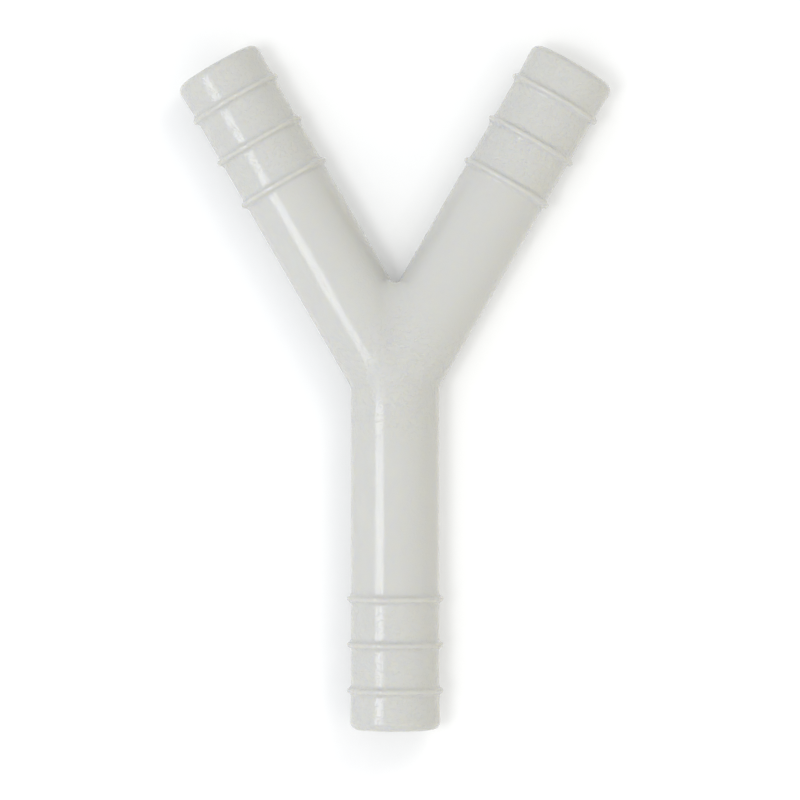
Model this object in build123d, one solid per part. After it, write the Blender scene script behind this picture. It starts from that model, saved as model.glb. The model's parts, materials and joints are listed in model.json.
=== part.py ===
from build123d import *

import os
from math import cos, radians, sin

# Tubing Y connector: one moulded piece, three hollow hose legs that meet at one point.
# It lies flat: the stem points along -Y, the arms spread about +Y, and +Z is up.

# Driving dimensions, in millimetres and degrees
tube_diameter = 12.7      # plain outside of every leg
wall = 1.65               # between a leg's plain outside and its bore
stem_length = 51.0        # from the meeting point to the stem's end face
arm_length = 51.6         # from the meeting point to each arm's end face
arm_angle = 30.0          # each arm leans this far from the stem's line
rib_count = 3             # hose ribs on each leg
rib_height = 0.6          # how far a rib stands out of the tube
rib_bead_radius = 0.4     # radius of a rib's round crest
rib_foot_radius = 0.6     # blend between a rib and the tube
stem_rib_pitch = 6.6      # from rib to rib on the stem
arm_rib_pitch = 6.95      # from rib to rib on the arms
nose_length = 5.65        # from a leg's end face to the middle of its first rib
nose_flare = 0.15         # how far the nose stands out of the tube
end_rounding = 1.25       # outer corner of each end face
mouth_rounding = 0.25     # inner corner of each end face
crotch_radius = 0.7       # ball that rounds the valley between the arms
shoulder_radius = 3.0     # ball that rounds the valleys between stem and arms
valley_seat = 0.02        # how far such a ball bites into the legs, so that its track meets them

# Sizes that follow
tube_radius = tube_diameter / 2
bore_radius = tube_radius - wall
crest_radius = tube_radius + rib_height
nose_radius = tube_radius + nose_flare
end_wall = nose_radius - bore_radius
mouth_radius = min(mouth_rounding, end_wall / 4)
end_radius = min(end_rounding, end_wall - 2 * mouth_radius)

# Where each leg points, in degrees counted from +X
right_heading = 90.0 - arm_angle
left_heading = 90.0 + arm_angle
stem_heading = 270.0
full_turn = 360.0


def rings(leg):
    """The edges that run round a leg along +Y, from its start to its end face."""
    circles = leg.edges().filter_by(GeomType.CIRCLE)
    return circles.filter_by(lambda edge: edge.radius > bore_radius).sort_by(Axis.Y)


def sharp_leg(length, pitch):
    """A solid leg along +Y from the meeting point, with its ribs and nose but no rounding."""
    tube = Pos(tube_radius / 2, length / 2) * Rectangle(tube_radius, length)
    nose = Pos(nose_radius / 2, length - nose_length / 2) * Rectangle(nose_radius, nose_length)
    section = tube + nose
    for i in range(rib_count):
        station = length - nose_length - i * pitch
        section += Pos(crest_radius - rib_bead_radius, station) * Circle(rib_bead_radius)
    return revolve(section, Axis.Y)


def outer_leg(length, pitch):
    """The outside of a leg, with its rib feet and its end corner rounded."""
    leg = sharp_leg(length, pitch)
    leg = fillet(rings(leg)[1:-1], rib_foot_radius)
    return fillet(rings(leg)[-1], end_radius)


def passage_leg(length):
    """The flow passage of one leg, along +Y from the meeting point."""
    return Rot(-90, 0, 0) * Cylinder(
        bore_radius, length, align=(Align.CENTER, Align.CENTER, Align.MIN)
    )


def midway(heading, neighbour):
    """Upright plane midway between two legs, facing the leg at `heading`."""
    middle = radians((heading + neighbour) / 2)
    side = 1 if heading > neighbour else -1
    return Plane(origin=(0, 0, 0), z_dir=(-side * sin(middle), side * cos(middle), 0))


def mitred(leg, heading, neighbours):
    """A leg turned from +Y to its heading and cut midway to both of its neighbours."""
    leg = Rot(0, 0, heading - 90) * leg
    for neighbour in neighbours:
        leg = split(leg, midway(heading, neighbour), keep=Keep.TOP)
    return leg


def joined(arm, stem):
    """Both arms and the stem, mitred against each other and joined."""
    right = mitred(arm, right_heading, (left_heading, stem_heading - full_turn))
    left = mitred(arm, left_heading, (right_heading, stem_heading))
    lower = mitred(stem, stem_heading, (left_heading, right_heading + full_turn))
    return right + left + lower


def valley_blend(heading, neighbour, ball_radius):
    """Solid that rounds the valley between two legs as a ball rolled along it would.

    It is made with the valley opening along +Y. The ball touches both legs, so its centre keeps
    one distance from their axes and runs on an ellipse in the YZ plane, and where it touches a
    leg it stays on an upright plane through the meeting point.
    """
    half_angle = radians(abs(neighbour - heading) / 2)
    ball_height = tube_radius + ball_radius
    ball_distance = ball_height / sin(half_angle)
    touch_x = ball_radius * cos(half_angle)
    touch_y = ball_distance - ball_radius * sin(half_angle)
    spread = touch_x / touch_y * ball_distance
    disc = Plane.YZ * Ellipse(ball_distance, ball_height)
    sector = Polyline((0, 0), (spread, ball_distance), (-spread, ball_distance), close=True)
    web = extrude(disc, spread, both=True) & extrude(make_face(sector), ball_height, both=True)
    track = disc.edge()
    ball = Plane(origin=track @ 0, z_dir=track % 0) * Circle(ball_radius + valley_seat)
    blend = web - sweep(ball, path=track)
    return Rot(0, 0, (heading + neighbour) / 2 - 90) * blend


def y_connector():
    """The whole connector, its meeting point at the origin and its legs' axes in the XY plane."""
    body = joined(outer_leg(arm_length, arm_rib_pitch), outer_leg(stem_length, stem_rib_pitch))
    body += valley_blend(right_heading, left_heading, crotch_radius)
    body += valley_blend(left_heading, stem_heading, shoulder_radius)
    body += valley_blend(stem_heading - full_turn, right_heading, shoulder_radius)
    body -= joined(passage_leg(arm_length), passage_leg(stem_length))
    circles = body.edges().filter_by(GeomType.CIRCLE)
    mouths = circles.filter_by(lambda edge: abs(edge.radius - bore_radius) < mouth_radius / 2)
    return fillet(mouths, mouth_radius)


def standing_on_floor(body):
    """The body moved to rest on Z = 0, with the middle of its box over the origin."""
    box = body.bounding_box()
    return Pos(-box.center().X, -box.center().Y, -box.min.Z) * body


os.makedirs("parts", exist_ok=True)
export_step(standing_on_floor(y_connector()), "parts/y_connector.step")
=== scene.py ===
# %% [markdown]
# # A moulded Y connector for hoses
#
# This file dresses one small plastic fitting: three hollow legs that meet in a Y, with three
# ribs near each end to grip a hose.

# %% Load the frame and remember its box
import json
from math import atan2, degrees, pi, sin, sqrt

import bmesh
import bpy
from mathutils import Matrix, Vector


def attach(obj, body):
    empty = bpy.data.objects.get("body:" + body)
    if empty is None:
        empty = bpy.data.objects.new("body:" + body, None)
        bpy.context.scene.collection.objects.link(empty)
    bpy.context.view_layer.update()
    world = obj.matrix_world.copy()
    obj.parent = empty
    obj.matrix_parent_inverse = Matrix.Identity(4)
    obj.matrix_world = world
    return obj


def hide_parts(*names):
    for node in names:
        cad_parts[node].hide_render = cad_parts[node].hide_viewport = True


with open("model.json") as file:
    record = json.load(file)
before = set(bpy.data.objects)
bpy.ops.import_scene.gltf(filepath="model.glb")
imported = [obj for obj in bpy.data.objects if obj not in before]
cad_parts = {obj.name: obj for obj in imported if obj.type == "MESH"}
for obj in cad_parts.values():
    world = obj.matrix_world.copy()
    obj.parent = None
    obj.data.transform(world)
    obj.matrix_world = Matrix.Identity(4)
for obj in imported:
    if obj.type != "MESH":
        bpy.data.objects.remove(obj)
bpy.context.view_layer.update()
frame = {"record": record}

# %% [markdown]
# ## Sizes
#
# The places where a hose or the flow meets the part are written in its record: each leg has a
# bore, and a nose that a hose is pushed over. They could be typed in again here, but then the
# dressed part could drift away from the solid. So every length and direction is worked out from
# the record, and only the sizes that it doesn't hold, such as the ribs, are written below.

# %% Radii, from the record where it has them
mm = 0.001
mounts = {mount["name"]: mount for mount in frame["record"]["mounts"]}
leg_names = ("stem", "left_arm", "right_arm")

tube_radius = 6.35 * mm        # outside of a plain leg
mouth_radius = 0.25 * mm       # inner corner of an end face
bore_radius = mounts["stem_bore"]["dims"]["r_mm"] * mm
nose_radius = mounts["stem_nose"]["dims"]["r_mm"] * mm
print("radii in mm: bore", round(bore_radius / mm, 3), "nose", round(nose_radius / mm, 3))


# %% Lengths and headings of the legs
def leg_axis(name):
    return Vector(mounts[name + "_bore"]["axis"]).normalized()


def meeting_point():
    """Where the stem's axis, which runs along Y, crosses an arm's axis."""
    on_arm = Vector(mounts["left_arm_bore"]["pos_m"])
    along = leg_axis("left_arm")
    return on_arm - along * (on_arm.x / along.x)


def leg_length(name):
    bore = mounts[name + "_bore"]
    middle = (Vector(bore["pos_m"]) - meeting_point()).dot(leg_axis(name))
    return middle + bore["dims"]["length_mm"] * mm / 2 + mouth_radius


def heading(name):
    axis = leg_axis(name)
    return atan2(axis.y, axis.x) % (2 * pi)


for name in leg_names:
    print(name, "length", round(leg_length(name), 5), "heading", round(heading(name), 4))

# %% Rib and corner sizes
rib_count = 3
rib_pitch = {"stem": 6.6 * mm, "left_arm": 6.95 * mm, "right_arm": 6.95 * mm}
rib_crest = 6.95 * mm          # radius of a leg over a rib
rib_bead = 0.4 * mm            # radius of a rib's round crest
rib_foot = 0.6 * mm            # radius of the hollow at a rib's foot
nose_length = 5.65 * mm        # from the end face to the first rib
end_radius = 1.25 * mm         # outer corner of an end face
crotch_ball = 0.7 * mm         # ball that fits the valley between the arms
shoulder_ball = 3.0 * mm       # ball that fits the valleys beside the stem
bore_ball = 0.2 * mm           # the same inside, where the passages meet
print("a rib stands", round((rib_crest - tube_radius) / mm, 2), "mm proud of its leg")

# %% [markdown]
# ## Sums in a node tree
#
# Geometry Nodes can be drawn by hand, but a long formula is easier to read as a formula. A
# `Field` stands for a socket, and adding or multiplying two of them adds a Math node. Nothing
# else is hidden: each sum below is still one node of the tree.


# %% Sockets that can be summed
class Field:
    """A number in a node tree, on which plain sums add Math nodes."""

    def __init__(self, tree, socket):
        self.tree = tree
        self.socket = socket

    def __add__(self, other):
        return self.tree.math("ADD", self, other)

    def __sub__(self, other):
        return self.tree.math("SUBTRACT", self, other)

    def __mul__(self, other):
        return self.tree.math("MULTIPLY", self, other)

    def __truediv__(self, other):
        return self.tree.math("DIVIDE", self, other)

    __radd__ = __add__
    __rmul__ = __mul__

    def __rsub__(self, other):
        return self.tree.math("SUBTRACT", other, self)


print("a Field takes +, -, * and /")


# %% Adding one node
def connect(node_tree, value, socket):
    """Link a value to a socket, or set the socket when the value is plain."""
    if isinstance(value, Field):
        value = value.socket
    if isinstance(value, bpy.types.NodeSocket):
        node_tree.links.new(value, socket)
    else:
        socket.default_value = value


def add_node(node_tree, kind, inputs=(), **settings):
    """Add a node, set its options and fill its inputs, which are found by name or number."""
    node = node_tree.nodes.new(kind)
    for name, value in settings.items():
        setattr(node, name, value)
    for key, value in dict(inputs).items():
        connect(node_tree, value, node.inputs[key])
    return node


# %% A geometry tree
class Tree:
    """A geometry node tree with named inputs and one mesh as its result."""

    def __init__(self, name):
        self.group = bpy.data.node_groups.new(name, "GeometryNodeTree")
        self.start = self.group.nodes.new("NodeGroupInput")
        self.group.interface.new_socket("Result", in_out="OUTPUT", socket_type="NodeSocketGeometry")

    def size(self, name, kind="NodeSocketFloat"):
        """A named input of the tree."""
        self.group.interface.new_socket(name, in_out="INPUT", socket_type=kind)
        return Field(self, self.start.outputs[name])

    def add(self, kind, inputs=(), **settings):
        return add_node(self.group, kind, inputs, **settings)

    def make(self, kind, inputs=(), **settings):
        """Add a node and take its first result."""
        return self.out(self.add(kind, inputs, **settings))

    def out(self, node, key=0):
        return Field(self, node.outputs[key])

    def math(self, operation, *values):
        return self.make("ShaderNodeMath", enumerate(values), operation=operation)

    def point(self, x, y, z):
        return self.make("ShaderNodeCombineXYZ", {"X": x, "Y": y, "Z": z})

    def position(self):
        """The three coordinates of each point."""
        parts = self.add("ShaderNodeSeparateXYZ", {0: self.make("GeometryNodeInputPosition")})
        return self.out(parts, "X"), self.out(parts, "Y"), self.out(parts, "Z")

    def move(self, mesh, place):
        """Put each point of a mesh or curve at a place of its own."""
        return self.make("GeometryNodeSetPosition", {"Geometry": mesh, "Position": place})

    def join(self, *parts):
        node = self.add("GeometryNodeJoinGeometry")
        for part in parts:
            self.group.links.new(part.socket, node.inputs[0])
        return self.out(node)

    def use(self, group, inputs):
        """Put a finished tree inside this one."""
        node = self.group.nodes.new("GeometryNodeGroup")
        node.node_tree = group
        for name, value in inputs.items():
            connect(self.group, value, node.inputs[name])
        return self.out(node)

    def finish(self, mesh):
        end = self.group.nodes.new("NodeGroupOutput")
        connect(self.group, mesh, end.inputs["Result"])
        print(self.group.name + ":", len(self.group.nodes), "nodes")
        return self.group

# %% [markdown]
# ## Turning a section
#
# A mould cavity for a tube is turned or bored round, so each leg is a body of revolution. Blender
# has a Screw modifier and a Spin tool for that. In a node tree a lathe is one node: Curve to Mesh
# carries the section round a circle. The section is drawn flat, with the distance along the leg
# as X and the radius as Y, because that is how one would sketch it, and then it is laid on the
# circle.

# %% The lathe
round_segments = 128


def lathe(tree, section, radius):
    """Carry a section, drawn as X along the leg and Y the radius, round the leg's Z axis."""
    x, y, _ = tree.position()
    laid = tree.move(section, tree.point(y - radius, 0.0 - x, 0.0))
    circle = tree.make(
        "GeometryNodeCurvePrimitiveCircle", {"Resolution": round_segments, "Radius": radius}
    )
    turned = tree.make("GeometryNodeCurveToMesh", {"Curve": circle, "Profile Curve": laid})
    return tree.make("GeometryNodeFlipFaces", {"Mesh": turned})


print("the lathe takes", round_segments, "steps, one every",
      round(2 * pi * tube_radius / round_segments / mm, 2), "mm")


# %% The strokes that a section is drawn with
def line(tree, start, end):
    points = {"Start": tree.point(*start, 0.0), "End": tree.point(*end, 0.0)}
    return tree.make("GeometryNodeCurvePrimitiveLine", points)


def quarter(tree, centre, radius, start_angle, points):
    """A quarter circle, turning clockwise from its start angle."""
    arc = tree.make("GeometryNodeCurveArc", {
        "Resolution": points, "Radius": radius, "Start Angle": start_angle, "Sweep Angle": -pi / 2,
    })
    shift = tree.point(*centre, 0.0)
    return tree.make("GeometryNodeTransform", {"Geometry": arc, "Translation": shift})

# %% [markdown]
# ## The ribbed wall of a leg
#
# The ribs hold a hose by biting into it. They could be three rings set on the tube, but moulded
# ribs grow out of the wall with a soft foot, and they follow a rule: three round beads at one
# pitch, counted back from the end. So the outside is a line of closely spaced points, and each
# point is lifted by the rib that it lies nearest to: onto the round crest when it is close, and
# onto the hollow foot beside it. The two circles touch, so nothing shows where one ends. Far from
# the ribs the line needs few points, and seven out of eight are deleted there.

# %% Spacing of the points
fine_step = 0.12 * mm
rib_zone = 1.45 * mm           # the points stay close within this distance of a rib's middle
plain_stride = 8
end_corner_points = 12
mouth_corner_points = 6
bore_points = 24
print("points across a rib:", round(2 * rib_zone / fine_step))


# %% The wall's radius beside and over a rib
def rib_profile(tree, offset, land, crest, bead, foot):
    """A crest circle that touches the hollow circle of the foot, which touches the land."""
    crest_centre = crest - bead
    foot_centre = land + foot
    climb = foot_centre - crest_centre
    both = bead + foot
    spread = tree.math("SQRT", both * both - climb * climb)
    rise = tree.math("SQRT", tree.math("MAXIMUM", bead * bead - offset * offset, 0.0))
    inward = tree.math("MAXIMUM", spread - offset, 0.0)
    fall = tree.math("SQRT", tree.math("MAXIMUM", foot * foot - inward * inward, 0.0))
    past_crest = tree.math("GREATER_THAN", offset, spread * (bead / both))
    on_crest = crest_centre + rise
    on_foot = foot_centre - fall
    return on_crest + (on_foot - on_crest) * past_crest


foot_reach = sqrt((rib_bead + rib_foot) ** 2 - (tube_radius + rib_foot - rib_crest + rib_bead) ** 2)
print("a rib and its feet are", round(2 * foot_reach / mm, 2), "mm wide")


# %% Fewer points where the wall is plain
def thin_out(tree, outside, along, offset, shaft_end):
    """Delete the points that are far from a rib, not one of the kept few and not the last."""
    index = tree.make("GeometryNodeInputIndex")
    plain = tree.math("GREATER_THAN", offset, rib_zone)
    between = tree.math("GREATER_THAN", tree.math("MODULO", index, float(plain_stride)), 0.5)
    inner = tree.math("LESS_THAN", along, shaft_end - fine_step / 2)
    all_three = tree.math("GREATER_THAN", plain + between + inner, 2.5)
    chosen = {"Geometry": outside, "Selection": all_three}
    return tree.make("GeometryNodeDeleteGeometry", chosen, domain="POINT")


# %% Tree of the ribbed wall
def ribbed_wall_tree():
    tree = Tree("ribbed wall")
    start, length, tube, nose, bore = [
        tree.size(name) for name in ("Start", "Length", "Tube Radius", "Nose Radius", "Bore Radius")
    ]
    count, pitch, first, crest, bead, foot = [
        tree.size(name)
        for name in ("Rib Count", "Rib Pitch", "Nose Length", "Rib Crest", "Rib Bead", "Rib Foot")
    ]
    corner, mouth = tree.size("End Corner"), tree.size("Mouth Corner")

    shaft_end = length - corner
    outside = line(tree, (start, tube), (shaft_end, tube))
    spaced = {"Curve": outside, "Length": fine_step}
    outside = tree.make("GeometryNodeResampleCurve", spaced, mode="LENGTH")
    along, _, _ = tree.position()
    from_first = (length - first - along) / pitch
    nearest = tree.math("MINIMUM", tree.math("ROUND", from_first), count - 1.0)
    nearest = tree.math("MAXIMUM", nearest, 0.0)
    offset = tree.math("ABSOLUTE", (from_first - nearest) * pitch)
    beyond_first = tree.math("MAXIMUM", along - (length - first), 0.0)
    flare = tree.math("MINIMUM", beyond_first / (first - corner), 1.0)
    land = tube + (nose - tube) * flare
    radius = rib_profile(tree, offset, land, crest, bead, foot)
    outside = tree.move(outside, tree.point(along, radius, 0.0))
    outside = thin_out(tree, outside, along, offset, shaft_end)

    end_corner = quarter(tree, (shaft_end, nose - corner), corner, pi / 2, end_corner_points)
    face = line(tree, (length, nose - corner), (length, bore + mouth))
    mouth_corner = quarter(tree, (length - mouth, bore + mouth), mouth, 0.0, mouth_corner_points)
    inside = line(tree, (length - mouth, bore), (start, bore))
    inside = tree.make("GeometryNodeResampleCurve", {"Curve": inside, "Count": bore_points})
    section = tree.join(outside, end_corner, face, mouth_corner, inside)
    return tree.finish(lathe(tree, section, tube))


ribbed_wall = ribbed_wall_tree()

# %% [markdown]
# ## Where the legs meet
#
# Equal tubes that cross at one point are cut on the planes midway between them, which leaves a
# sharp valley. A mould maker rounds it with a ball cutter, and the surface that a rolled ball
# leaves has an exact formula: the ball's centre keeps one distance from both axes. This tree
# bends the start of a straight tube onto that track, so that neighbours meet point for point
# and can be welded. A Boolean and a Bevel would give a worse mesh, with slivers where the
# valley fades out.
#
# Between the arms the valley is sharp at the crotch but fades out towards the top. A `Swell`
# does that: it makes the ball grow with the height, most at the top and not at all at the
# crotch, and the skin still touches both tubes.

# %% Rows of points along the skin
blend_rows = 10
skin_rows = 22
blend_share = blend_rows / skin_rows
print("rows of the skin:", blend_rows, "in the valley and", skin_rows - blend_rows, "on the tube")


# %% The track of a rolled ball
def valley(tree, radius, ball, half, flat, up, share):
    """Points of the skin that a ball leaves between two tubes, from the valley's middle out.

    `half` is half the angle between the tubes. `flat` and `up` say where round the tube a point
    is, and `share` runs from 0 in the middle of the valley to 1 where it touches the tube.
    """
    sine = tree.math("SINE", half)
    cosine = tree.math("COSINE", half)
    depth = tree.math("SQRT", sine * sine * flat * flat + up * up)
    turn = tree.math("ARCTAN2", flat * cosine, depth) * share
    out_part = tree.math("SINE", turn)
    down_part = tree.math("COSINE", turn) / depth
    reach = radius + ball
    x = reach * flat - ball * (out_part * cosine + down_part * flat * sine * sine)
    y = reach * up - ball * down_part * up
    z = reach * flat * cosine / sine + ball * sine * (out_part - down_part * cosine * flat)
    return x, y, z


# %% Tree of one leg's skin near the meeting point
def meeting_skin_tree():
    tree = Tree("meeting skin")
    radius, end = tree.size("Radius"), tree.size("End")
    left_ball, left_half = tree.size("Left Ball"), tree.size("Left Half Angle")
    right_ball, right_half = tree.size("Right Ball"), tree.size("Right Half Angle")
    left_swell, right_swell = tree.size("Left Swell"), tree.size("Right Swell")

    rows = line(tree, (0.0, radius), (1.0, radius))
    rows = tree.make("GeometryNodeResampleCurve", {"Curve": rows, "Count": skin_rows + 1})
    tube = lathe(tree, rows, radius)

    x, y, row = tree.position()
    across = x / radius
    up = y / radius
    left_side = tree.math("GREATER_THAN", across, 0.0)
    swell = right_swell + (left_swell - right_swell) * left_side
    ball = right_ball + (left_ball - right_ball) * left_side + swell * up * up
    half = right_half + (left_half - right_half) * left_side
    flat = tree.math("ABSOLUTE", across)
    side = left_side * 2.0 - 1.0

    share = tree.math("MINIMUM", row / blend_share, 1.0)
    rest = tree.math("MAXIMUM", (row - blend_share) / (1.0 - blend_share), 0.0)
    blend_x, blend_y, blend_z = valley(tree, radius, ball, half, flat, up, share)
    along = blend_z + (end - blend_z) * rest
    return tree.finish(tree.move(tube, tree.point(side * blend_x, blend_y, along)))


meeting_skin = meeting_skin_tree()

# %% [markdown]
# ## One leg, then three
#
# A leg is its ribbed wall, its outer skin near the meeting point and the skin of its passage.
# It is made standing on Z and then laid along its heading. Three separate legs could be built
# by hand, but they differ only in a few sizes, so the whole connector is one leg three times
# with other inputs, welded where the copies touch.

# %% Angles and reaches at the meeting point
arm_half = heading("left_arm") / 2 - heading("right_arm") / 2
shoulder_half = heading("stem") / 2 - heading("left_arm") / 2
arm_plain_start = 14.0 * mm    # where an arm's skin hands over to its ribbed wall
stem_plain_start = 5.0 * mm
crotch_swell = 6.0 * mm        # how much the ball between the arms grows by the top
weld_distance = 0.004 * mm
crotch_reach = (tube_radius + crotch_ball) / sin(arm_half) - crotch_ball
print("half angles in degrees: arms", round(degrees(arm_half), 2),
      "shoulders", round(degrees(shoulder_half), 2))
print("the crotch lies", round(crotch_reach / mm, 2), "mm beyond the meeting point")


# %% Tree of one leg
def leg_tree():
    tree = Tree("leg")
    direction, length, pitch, start = [
        tree.size(name) for name in ("Heading", "Length", "Rib Pitch", "Plain Start")
    ]
    left_ball, left_half = tree.size("Left Ball"), tree.size("Left Half Angle")
    right_ball, right_half = tree.size("Right Ball"), tree.size("Right Half Angle")
    left_swell, right_swell = tree.size("Left Swell"), tree.size("Right Swell")

    wall = tree.use(ribbed_wall, {
        "Start": start, "Length": length, "Rib Pitch": pitch, "Rib Count": float(rib_count),
        "Tube Radius": tube_radius, "Nose Radius": nose_radius, "Bore Radius": bore_radius,
        "Nose Length": nose_length, "Rib Crest": rib_crest, "Rib Bead": rib_bead,
        "Rib Foot": rib_foot, "End Corner": end_radius, "Mouth Corner": mouth_radius,
    })
    shared = {"Left Half Angle": left_half, "Right Half Angle": right_half, "End": start}
    outer = tree.use(meeting_skin, {
        "Radius": tube_radius, "Left Ball": left_ball, "Right Ball": right_ball,
        "Left Swell": left_swell, "Right Swell": right_swell, **shared,
    })
    inner = tree.use(meeting_skin, {
        "Radius": bore_radius, "Left Ball": bore_ball, "Right Ball": bore_ball, **shared,
    })
    inner = tree.make("GeometryNodeFlipFaces", {"Mesh": inner})
    standing = tree.join(wall, outer, inner)
    x, y, z = tree.position()
    cosine = tree.math("COSINE", direction)
    sine = tree.math("SINE", direction)
    laid = tree.point(z * cosine - x * sine, z * sine + x * cosine, y)
    return tree.finish(tree.move(standing, laid))


leg = leg_tree()


# %% Tree of the whole connector
def connector_tree(material):
    tree = Tree("y connector")
    place = tree.size("Meeting Point", "NodeSocketVector")
    stem_length, arm_length = tree.size("Stem Length"), tree.size("Arm Length")
    crotch, shoulder = tree.size("Crotch Ball"), tree.size("Shoulder Ball")
    shoulder_left = {"Left Ball": shoulder, "Left Half Angle": shoulder_half}
    shoulder_right = {"Right Ball": shoulder, "Right Half Angle": shoulder_half}

    stem = tree.use(leg, {
        "Heading": heading("stem"), "Length": stem_length, "Rib Pitch": rib_pitch["stem"],
        "Plain Start": stem_plain_start, **shoulder_left, **shoulder_right,
    })
    left = tree.use(leg, {
        "Heading": heading("left_arm"), "Length": arm_length, "Rib Pitch": rib_pitch["left_arm"],
        "Plain Start": arm_plain_start, **shoulder_left,
        "Right Ball": crotch, "Right Half Angle": arm_half, "Right Swell": crotch_swell,
    })
    right = tree.use(leg, {
        "Heading": heading("right_arm"), "Length": arm_length, "Rib Pitch": rib_pitch["right_arm"],
        "Plain Start": arm_plain_start, **shoulder_right,
        "Left Ball": crotch, "Left Half Angle": arm_half, "Left Swell": crotch_swell,
    })
    body = tree.join(stem, left, right)
    body = tree.make("GeometryNodeTransform", {"Geometry": body, "Translation": place})
    body = tree.make("GeometryNodeMergeByDistance", {"Geometry": body, "Distance": weld_distance})
    body = tree.make("GeometryNodeSetShadeSmooth", {"Geometry": body})
    body = tree.make("GeometryNodeRealizeInstances", {"Geometry": body})
    return tree.finish(
        tree.make("GeometryNodeSetMaterial", {"Geometry": body, "Material": material})
    )

# %% [markdown]
# ## Milky plastic
#
# The real part is natural, uncoloured plastic: light goes in, scatters and comes out nearby, so
# its shadows are soft and its deep places turn a little yellow. Subsurface scattering does this
# better than a paler paint would.
#
# The skin comes from a mould and isn't quite even. Slow waves bend the highlight, and small pits
# break it into a streak with ragged edges. The pits are strong by the ribs and where the legs
# meet, and faint on the plain tubes between. On top of the meeting place is a round patch that is
# left matt, such as a maker roughens for low lettering. It is bare here. Its rim is gradual and
# ragged, because a sharp one would look like a ring laid on the part.

# %% Sizes of the finish
plastic_colour = (0.635, 0.635, 0.61, 1.0)
plastic_ior = 1.5
scatter_reach = 0.3 * mm
scatter_by_colour = (1.0, 0.85, 0.5)   # red light goes furthest, so thick places turn yellow

pit_scale = 2000.0             # pits in a metre, so one every half millimetre
pit_depth = 0.05 * mm
pit_edges = (0.52, 0.60)       # the noise becomes a pit above this
pitted_reach = 52.0 * mm       # distance from the meeting point that the stops are a share of
pitted_stops = ((0.0, 1.0), (0.16, 0.75), (0.26, 0.18), (0.56, 0.18), (0.68, 0.75), (1.0, 0.8))

wave_scale = 420.0             # waves in a metre, so one every 2.4 mm
wave_depth = 0.10 * mm
wave_strength = 0.4
fine_detail = 1.0              # octaves of both noises

gloss_roughness = 0.11
matt_roughness = 0.45
patch_core = 4.3 * mm          # fully matt within this distance of the top of the meeting place
patch_rim = 6.0 * mm
patch_ragged = 2.0 * mm        # how far the noise pushes the rim in and out
print("pits every", round(1 / pit_scale / mm, 2), "mm,",
      "waves every", round(1 / wave_scale / mm, 2), "mm")


# %% How pitted the skin is, from the meeting point out to the ends
def pitted_amount(node_tree, place):
    away = add_node(
        node_tree, "ShaderNodeVectorMath", {0: place, 1: meeting_point()}, operation="DISTANCE"
    )
    share = add_node(
        node_tree, "ShaderNodeMath", {0: away.outputs["Value"], 1: pitted_reach}, operation="DIVIDE"
    )
    ramp = add_node(node_tree, "ShaderNodeValToRGB", {"Fac": share.outputs["Value"]})
    ramp.color_ramp.interpolation = "EASE"
    elements = ramp.color_ramp.elements
    for at, _ in pitted_stops[1:-1]:
        elements.new(at)
    for element, (_, amount) in zip(elements, pitted_stops):
        element.color = (amount, amount, amount, 1.0)
    return ramp.outputs["Color"]


# %% The matt patch on top of the meeting place
def roughness(node_tree, place, noise):
    crown = meeting_point() + Vector((0.0, 0.0, tube_radius))
    away = add_node(node_tree, "ShaderNodeVectorMath", {0: place, 1: crown}, operation="DISTANCE")
    ragged = add_node(
        node_tree, "ShaderNodeMath", {0: noise, 1: patch_ragged, 2: away.outputs["Value"]},
        operation="MULTIPLY_ADD",
    )
    amount = add_node(node_tree, "ShaderNodeMapRange", {
        "Value": ragged.outputs["Value"], "From Min": patch_core, "From Max": patch_rim,
        "To Min": matt_roughness, "To Max": gloss_roughness,
    })
    return amount.outputs["Result"]


# %% Pits and waves of the skin
def uneven_skin(node_tree, place, noise):
    hollow = add_node(
        node_tree, "ShaderNodeMapRange",
        {"Value": noise, "From Min": pit_edges[0], "From Max": pit_edges[1]},
        interpolation_type="SMOOTHSTEP",
    )
    pits = add_node(node_tree, "ShaderNodeBump", {
        "Height": hollow.outputs["Result"], "Distance": pit_depth,
        "Strength": pitted_amount(node_tree, place),
    }, invert=True)
    slow = add_node(
        node_tree, "ShaderNodeTexNoise",
        {"Vector": place, "Scale": wave_scale, "Detail": fine_detail},
    )
    waves = add_node(node_tree, "ShaderNodeBump", {
        "Height": slow.outputs["Fac"], "Distance": wave_depth, "Strength": wave_strength,
        "Normal": pits.outputs["Normal"],
    })
    return waves.outputs["Normal"]


# %% Material
def milky_plastic():
    material = bpy.data.materials.new("milky_plastic")
    material.use_nodes = True
    node_tree = material.node_tree
    place = add_node(node_tree, "ShaderNodeTexCoord").outputs["Object"]
    noise = add_node(
        node_tree, "ShaderNodeTexNoise",
        {"Vector": place, "Scale": pit_scale, "Detail": fine_detail},
    ).outputs["Fac"]
    finish = {
        "Base Color": plastic_colour, "IOR": plastic_ior, "Subsurface Weight": 1.0,
        "Subsurface Radius": scatter_by_colour, "Subsurface Scale": scatter_reach,
        "Roughness": roughness(node_tree, place, noise),
        "Normal": uneven_skin(node_tree, place, noise),
    }
    surface = node_tree.nodes["Principled BSDF"]
    for name, value in finish.items():
        connect(node_tree, value, surface.inputs[name])
    return material


plastic = milky_plastic()
print(plastic.name + ":", len(plastic.node_tree.nodes), "nodes")

# %% [markdown]
# ## Make the connector
#
# The modifier's inputs are set by the identifiers that the tree gives them. The modifier could
# stay live, but the result is kept as a plain mesh, because a plain mesh exports the same way in
# every program.


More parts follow.
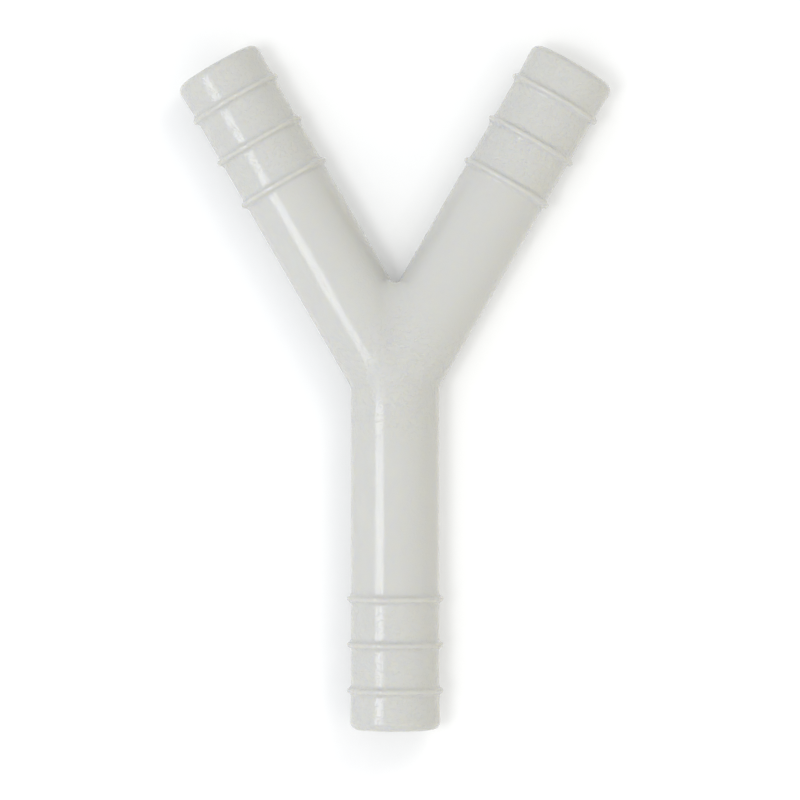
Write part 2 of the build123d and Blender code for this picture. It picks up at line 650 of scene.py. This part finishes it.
# %% Evaluate the tree and keep its mesh
def from_tree(name, group, inputs):
    """A plain mesh object from a node tree with the given inputs."""
    seed = bpy.data.objects.new(name + ".seed", bpy.data.meshes.new(name + ".seed"))
    bpy.context.scene.collection.objects.link(seed)
    modifier = seed.modifiers.new("make", "NODES")
    modifier.node_group = group
    for item in group.interface.items_tree:
        if item.item_type == "SOCKET" and item.in_out == "INPUT":
            modifier[item.identifier] = inputs[item.name]
    evaluated = seed.evaluated_get(bpy.context.evaluated_depsgraph_get())
    mesh = bpy.data.meshes.new_from_object(evaluated)
    bpy.data.objects.remove(seed)
    mesh.name = name
    piece = bpy.data.objects.new(name, mesh)
    bpy.context.scene.collection.objects.link(piece)
    return piece


connector = from_tree("connector", connector_tree(plastic), {
    "Meeting Point": meeting_point(), "Stem Length": leg_length("stem"),
    "Arm Length": leg_length("left_arm"), "Crotch Ball": crotch_ball,
    "Shoulder Ball": shoulder_ball,
})
print("connector:", len(connector.data.vertices), "points", len(connector.data.polygons), "faces")


# %% Check that the mesh is closed and turned outward
def report_mesh(piece):
    work = bmesh.new()
    work.from_mesh(piece.data)
    open_edges = sum(1 for edge in work.edges if len(edge.link_faces) != 2)
    triangles = sum(len(face.verts) - 2 for face in work.faces)
    volume = work.calc_volume(signed=True) / mm ** 3
    work.free()
    print(piece.name, "open edges", open_edges, "triangles", triangles,
          "volume mm3", round(volume, 1))


report_mesh(connector)
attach(connector, "root")
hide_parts("y_connector")

# %% [markdown]
# ## Table and surroundings
#
# The part lies on white, in white surroundings. A plain white sheet under lamps would turn out
# grey in places, so the table has two looks. The camera, and whatever is mirrored in the part,
# see a sheet that is nearly pure white, takes the part's shadow, carries a painted shade that
# darkens its white a little in the nook under the part, and glows faintly far away. All other
# light meets warm paper, which sends a soft light back up to the part.

# %% Sizes of the surroundings
table_reach = 4.0
# Painted shade: near the part the white that the camera sees is darkened, over the width below and
# down to the darkest white after it.
painted_shade_reach = 7.0 * mm         # width of the nook's shade
painted_nook_shade_white = 0.80
open_white = 0.98
paper_colour = (0.8, 0.79, 0.74, 1.0)
glow_from = 0.15               # the table starts to glow this far out
glow_full = 1.2
glow_most = 0.45
pure_white = (1.0, 1.0, 1.0, 1.0)
ambient_colour = (0.99, 1.0, 1.0, 1.0)
ambient_strength = 0.64
print("the table is", 2 * table_reach, "m wide, and its nook shade reaches", painted_shade_reach / mm, "mm")


# %% Which rays see the surroundings as the camera does
def seen_directly(node_tree):
    """1 for rays from the camera, and for those that a glossy or clear surface sends on."""
    path = add_node(node_tree, "ShaderNodeLightPath").outputs
    mirrored = add_node(
        node_tree, "ShaderNodeMath", {0: path["Is Camera Ray"], 1: path["Is Glossy Ray"]},
        operation="MAXIMUM",
    )
    either = add_node(
        node_tree, "ShaderNodeMath",
        {0: mirrored.outputs["Value"], 1: path["Is Transmission Ray"]}, operation="MAXIMUM",
    )
    return either.outputs["Value"]


def two_looks(node_tree, unseen, seen, end):
    """Give the result `seen` to the rays above, and `unseen` to all others."""
    choice = add_node(
        node_tree, "ShaderNodeMixShader", {0: seen_directly(node_tree), 1: unseen, 2: seen}
    )
    node_tree.links.new(choice.outputs["Shader"], node_tree.nodes[end].inputs["Surface"])


# %% The table's material
def table_white():
    material = bpy.data.materials.new("table_white")
    material.use_nodes = True
    node_tree = material.node_tree
    paper = node_tree.nodes["Principled BSDF"]
    dull = {"Roughness": 1.0, "Specular IOR Level": 0.0}
    for name, value in {"Base Color": paper_colour, **dull}.items():
        paper.inputs[name].default_value = value

    # Painted shade: ambient occlusion darkens the white that the camera sees in the nook under the
    # part.
    nook = add_node(
        node_tree, "ShaderNodeAmbientOcclusion", {"Color": pure_white, "Distance": painted_shade_reach}
    )
    white = add_node(node_tree, "ShaderNodeMapRange", {
        "Value": nook.outputs["AO"], "To Min": painted_nook_shade_white, "To Max": open_white,
    })
    spot = add_node(node_tree, "ShaderNodeTexCoord")
    away = add_node(
        node_tree, "ShaderNodeVectorMath", {0: spot.outputs["Object"]}, operation="LENGTH"
    )
    glow = add_node(node_tree, "ShaderNodeMapRange", {
        "Value": away.outputs["Value"], "From Min": glow_from, "From Max": glow_full,
        "To Max": glow_most,
    })
    bright = add_node(node_tree, "ShaderNodeBsdfPrincipled", {
        "Base Color": white.outputs["Result"], "Emission Color": pure_white,
        "Emission Strength": glow.outputs["Result"], **dull,
    })
    two_looks(node_tree, paper.outputs["BSDF"], bright.outputs["BSDF"], "Material Output")
    return material


# %% The table
def white_table():
    mesh = bpy.data.meshes.new("table")
    corners = [(-table_reach, -table_reach, 0), (table_reach, -table_reach, 0),
               (table_reach, table_reach, 0), (-table_reach, table_reach, 0)]
    mesh.from_pydata(corners, [], [(0, 1, 2, 3)])
    mesh.materials.append(table_white())
    table = bpy.data.objects.new("table", mesh)
    bpy.context.scene.collection.objects.link(table)
    return table


table = white_table()
print(table.name + ":", len(table.data.materials[0].node_tree.nodes), "nodes in its material")


# %% The white surroundings
def white_surroundings():
    world = bpy.data.worlds.new("surroundings")
    bpy.context.scene.world = world
    world.use_nodes = True
    node_tree = world.node_tree
    ambient = node_tree.nodes["Background"]
    ambient.inputs["Color"].default_value = ambient_colour
    ambient.inputs["Strength"].default_value = ambient_strength
    seen = add_node(node_tree, "ShaderNodeBackground", {"Color": pure_white, "Strength": 1.0})
    two_looks(
        node_tree, ambient.outputs["Background"], seen.outputs["Background"], "World Output"
    )
    return world


print("surroundings:", white_surroundings().name, "at", ambient_strength)

# %% [markdown]
# ## Lamps
#
# Five soft boxes stand round the part. The key stands on the left and is the only one that is
# mirrored in the plastic, so a leg has no more than a single streak. The overhead lamp makes the
# soft shadow on the right. The back lamp and the warm one on the right fill the shaded sides,
# which turn a little yellow. The front lamp brightens the stem's end. One lamp could do, but then
# the streak, the shadow and the tint couldn't be set one by one.

# %% Lamps
lamp_target = Vector((0.0, 0.0, 0.007))


def soft_lamp(name, place, size, watts, colour, shadow=True, shine=False):
    """A soft box that faces the part; only one with shine is mirrored in it."""
    light = bpy.data.lights.new(name, "AREA")
    light.shape = "RECTANGLE"
    light.size, light.size_y = size
    light.energy = watts
    light.color = colour
    light.use_shadow = shadow
    lamp = bpy.data.objects.new(name, light)
    facing = (lamp_target - Vector(place)).to_track_quat("-Z", "Y")
    lamp.matrix_world = Matrix.Translation(place) @ facing.to_matrix().to_4x4()
    lamp.visible_glossy = shine
    bpy.context.scene.collection.objects.link(lamp)
    print(name, "lamp:", watts, "W,", round((lamp_target - Vector(place)).length, 2), "m away")


bluish = (0.97, 1.0, 1.10)
neutral = (0.99, 1.0, 1.01)
cream = (1.0, 0.97, 0.86)
yellow = (1.0, 0.85, 0.50)
soft_lamp("key", (-0.59, -0.13, 0.69), (0.43, 0.35), 1.85, bluish, shadow=False, shine=True)
soft_lamp("overhead", (-0.24, -0.08, 1.05), (0.22, 0.22), 2.1, neutral)
soft_lamp("back", (0.35, 0.50, 0.85), (0.30, 0.30), 1.1, cream)
soft_lamp("front", (-0.10, -0.80, 0.60), (0.40, 0.40), 0.6, neutral, shadow=False)
soft_lamp("warm_fill", (0.90, -0.35, 0.42), (0.50, 0.50), 0.8, yellow)

# %% [markdown]
# ## Camera
#
# The part is seen from straight above. A long lens from 0.8 m keeps the legs' sides nearly
# parallel to the view, so that the outline is the true one. Standard view keeps white white.

# %% Camera
camera_height = 0.80
view_middle = Vector((0.00069, -0.00177, 0.007))

camera_data = bpy.data.cameras.new("camera")
camera_data.lens = 250.0
camera_data.clip_start = 0.01
camera_data.clip_end = 20.0
camera = bpy.data.objects.new("camera", camera_data)
camera.location = view_middle + Vector((0.0, 0.0, camera_height))
camera.rotation_euler = (0.0, 0.0, 0.0)
bpy.context.scene.collection.objects.link(camera)
bpy.context.scene.camera = camera
bpy.context.scene.view_settings.view_transform = "Standard"
print("camera:", camera_data.lens, "mm lens at", [round(value, 4) for value in camera.location])
